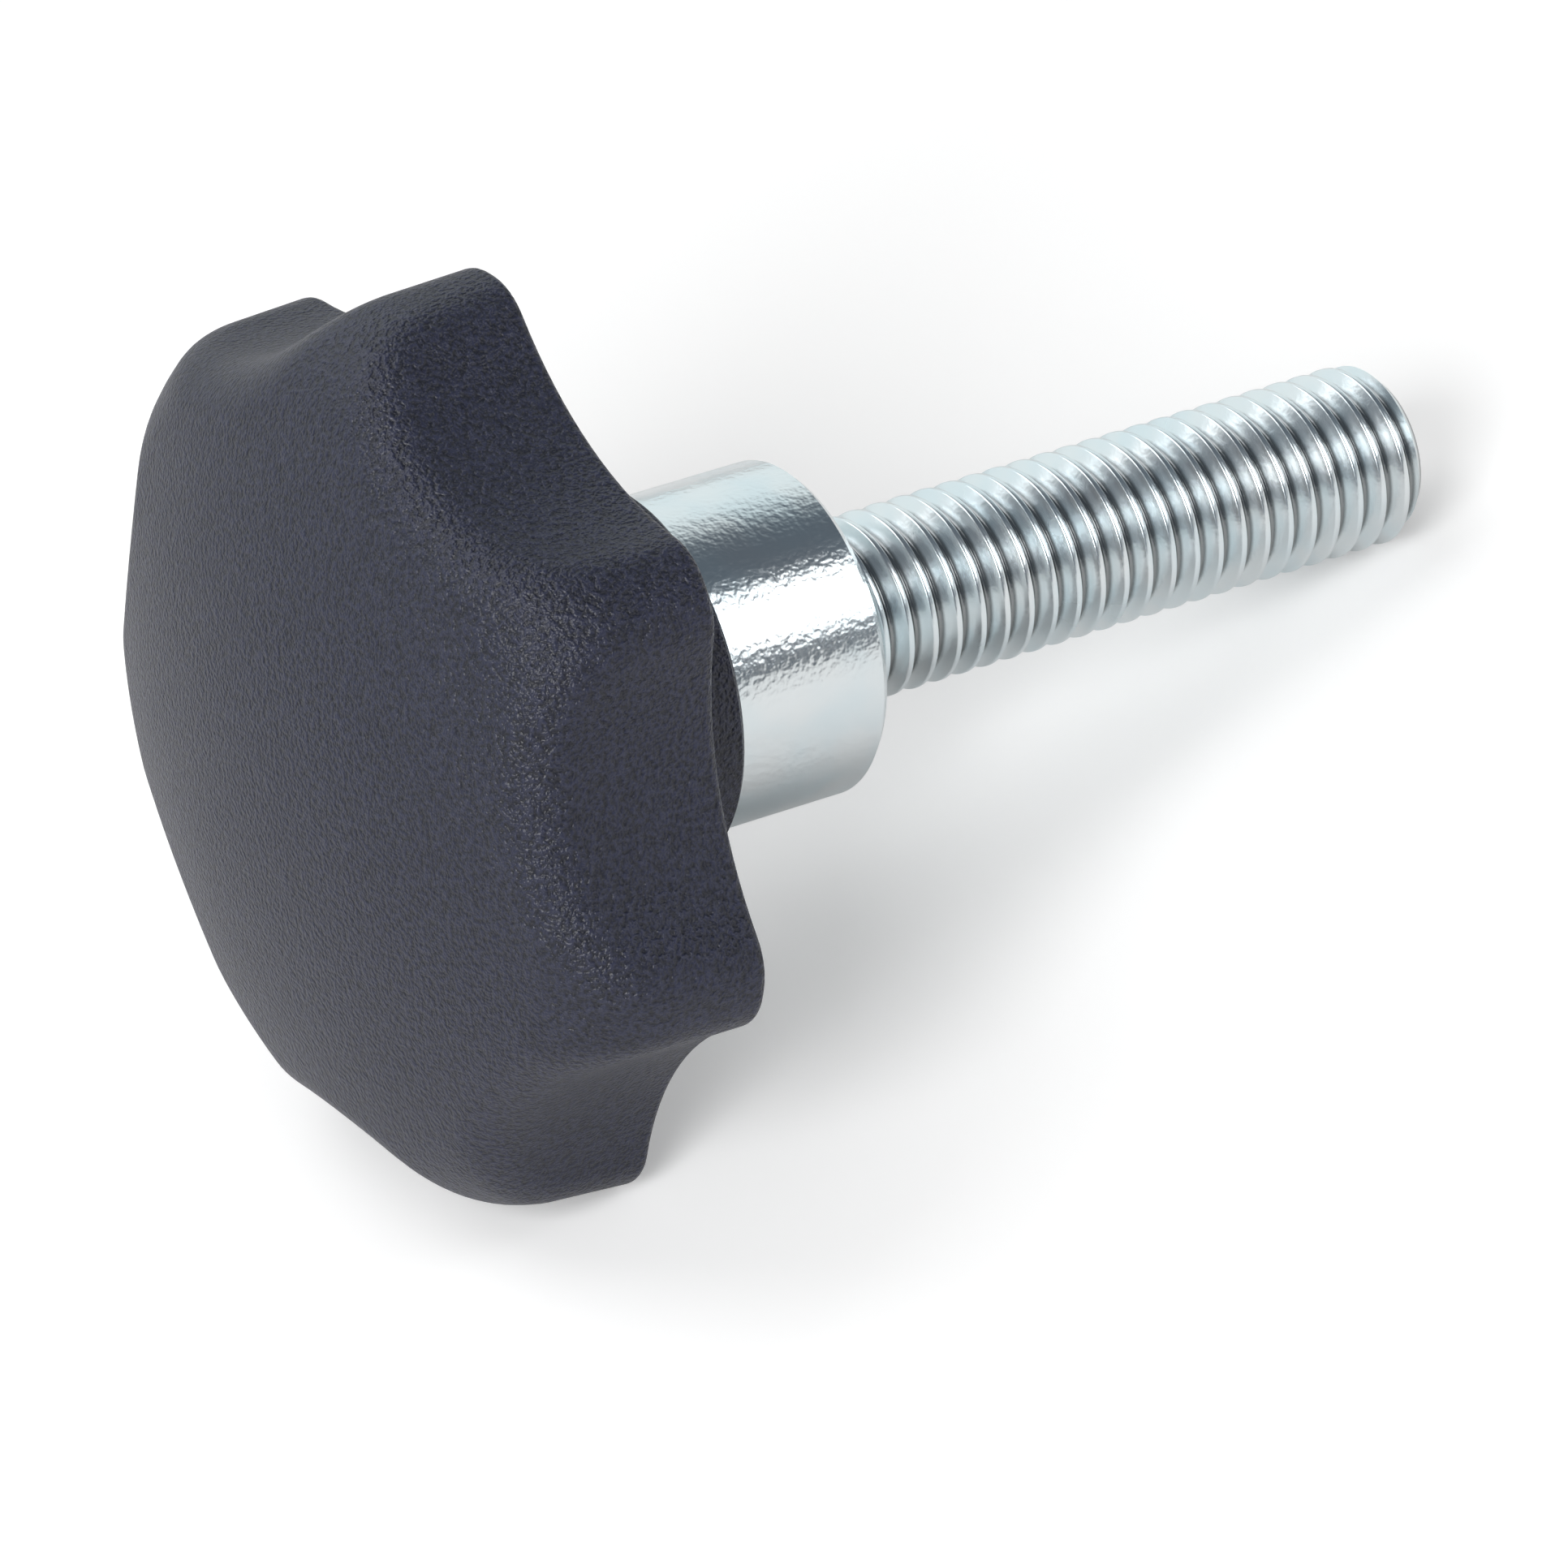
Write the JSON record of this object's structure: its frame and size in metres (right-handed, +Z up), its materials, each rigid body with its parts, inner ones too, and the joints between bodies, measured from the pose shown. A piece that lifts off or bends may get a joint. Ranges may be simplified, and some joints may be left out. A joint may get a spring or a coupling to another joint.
{
  "type": "star knob",
  "caption": "Lobed hand knob of black moulded plastic with a projecting zinc-plated steel bushing and a threaded stud, for clamping by hand.",
  "frame": {"origin": "centre of the knob's footprint, on the surface it lies on", "axes": "+X along that surface from the head towards the stud's tip, +Z up; the knob's own axis dips towards the tip, because the knob lies on two lobes and on the tip of its stud"},
  "size_m": [0.07, 0.049, 0.0468],
  "materials": {
    "black_plastic": "matt black moulded technopolymer with a fine spark-eroded grain",
    "zinc_plated_steel": "turned steel, bright zinc plate with a bluish passivation"
  },
  "bodies": {
    "root": {"knob_body": "black_plastic", "steel_bushing": "zinc_plated_steel", "threaded_stud": "zinc_plated_steel"}
  },
  "joints": []
}
